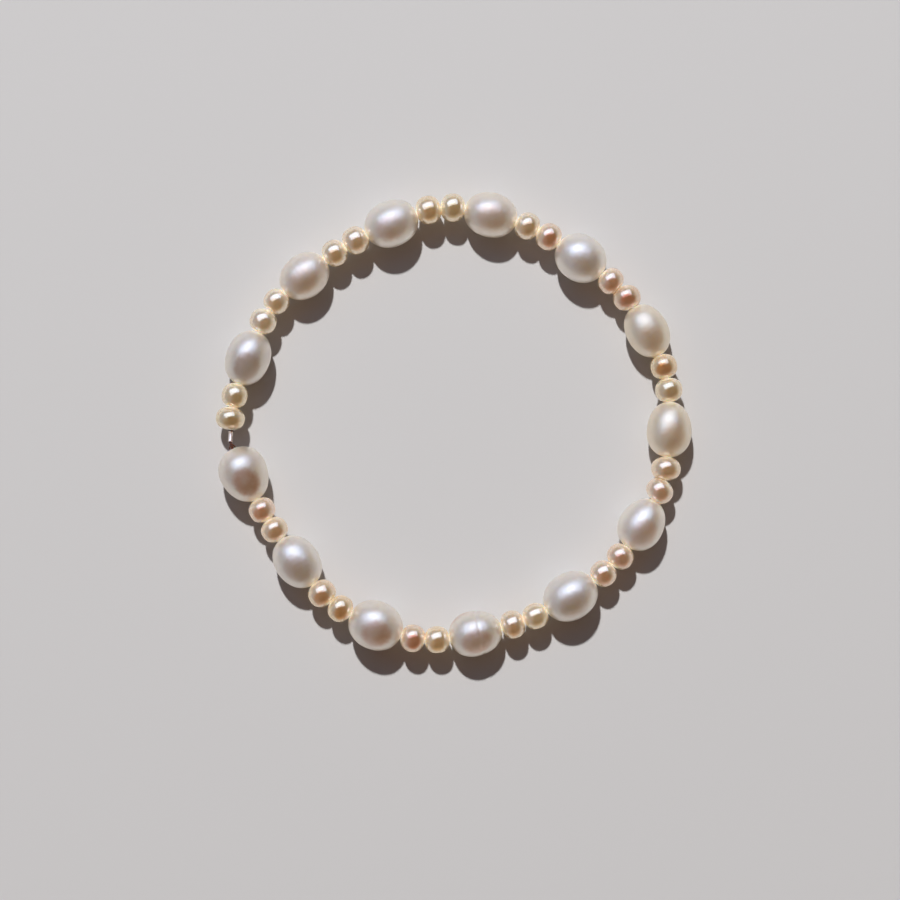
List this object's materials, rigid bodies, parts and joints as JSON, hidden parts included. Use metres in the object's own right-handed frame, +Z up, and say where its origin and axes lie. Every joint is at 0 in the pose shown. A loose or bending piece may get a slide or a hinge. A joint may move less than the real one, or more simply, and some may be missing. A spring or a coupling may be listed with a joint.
{
  "type": "pearl bracelet",
  "caption": "Flexible bracelet of large oval pearls with pairs of small button pearls between them, strung on a thin thread that is closed by a small metal crimp tube.",
  "frame": {"origin": "centre of the loop, on the surface that the large pearls rest on", "axes": "+Z up through the wrist opening; the crimp tube lies on the -X side"},
  "size_m": [0.062, 0.0606, 0.0065],
  "materials": {
    "silver_nacre": "gloss",
    "warm_white_nacre": "gloss",
    "rose_white_nacre": "gloss",
    "champagne_nacre": "gloss",
    "cream_nacre": "gloss",
    "gold_nacre": "gloss",
    "olive_gold_nacre": "gloss",
    "copper_rose_nacre": "gloss",
    "peach_nacre": "gloss",
    "crimp_metal": "polished",
    "thread_fibre": "satin"
  },
  "bodies": {
    "root": {"large_pearl_01": "silver_nacre", "large_pearl_02": "warm_white_nacre", "large_pearl_03": "rose_white_nacre", "large_pearl_04": "warm_white_nacre", "large_pearl_05": "silver_nacre", "large_pearl_06": "champagne_nacre", "large_pearl_07": "champagne_nacre", "large_pearl_08": "rose_white_nacre", "large_pearl_09": "silver_nacre", "large_pearl_10": "rose_white_nacre", "large_pearl_11": "rose_white_nacre", "large_pearl_12": "silver_nacre", "large_pearl_13": "rose_white_nacre", "small_pearl_01": "olive_gold_nacre", "small_pearl_02": "olive_gold_nacre", "small_pearl_03": "cream_nacre", "small_pearl_04": "cream_nacre", "small_pearl_05": "cream_nacre", "small_pearl_06": "peach_nacre", "small_pearl_07": "gold_nacre", "small_pearl_08": "olive_gold_nacre", "small_pearl_09": "cream_nacre", "small_pearl_10": "copper_rose_nacre", "small_pearl_11": "copper_rose_nacre", "small_pearl_12": "copper_rose_nacre", "small_pearl_13": "gold_nacre", "small_pearl_14": "olive_gold_nacre", "small_pearl_15": "peach_nacre", "small_pearl_16": "copper_rose_nacre", "small_pearl_17": "copper_rose_nacre", "small_pearl_18": "copper_rose_nacre", "small_pearl_19": "gold_nacre", "small_pearl_20": "peach_nacre", "small_pearl_21": "gold_nacre", "small_pearl_22": "copper_rose_nacre", "small_pearl_23": "gold_nacre", "small_pearl_24": "peach_nacre", "small_pearl_25": "peach_nacre", "small_pearl_26": "copper_rose_nacre", "crimp_tube": "crimp_metal", "thread": "thread_fibre"}
  },
  "joints": []
}
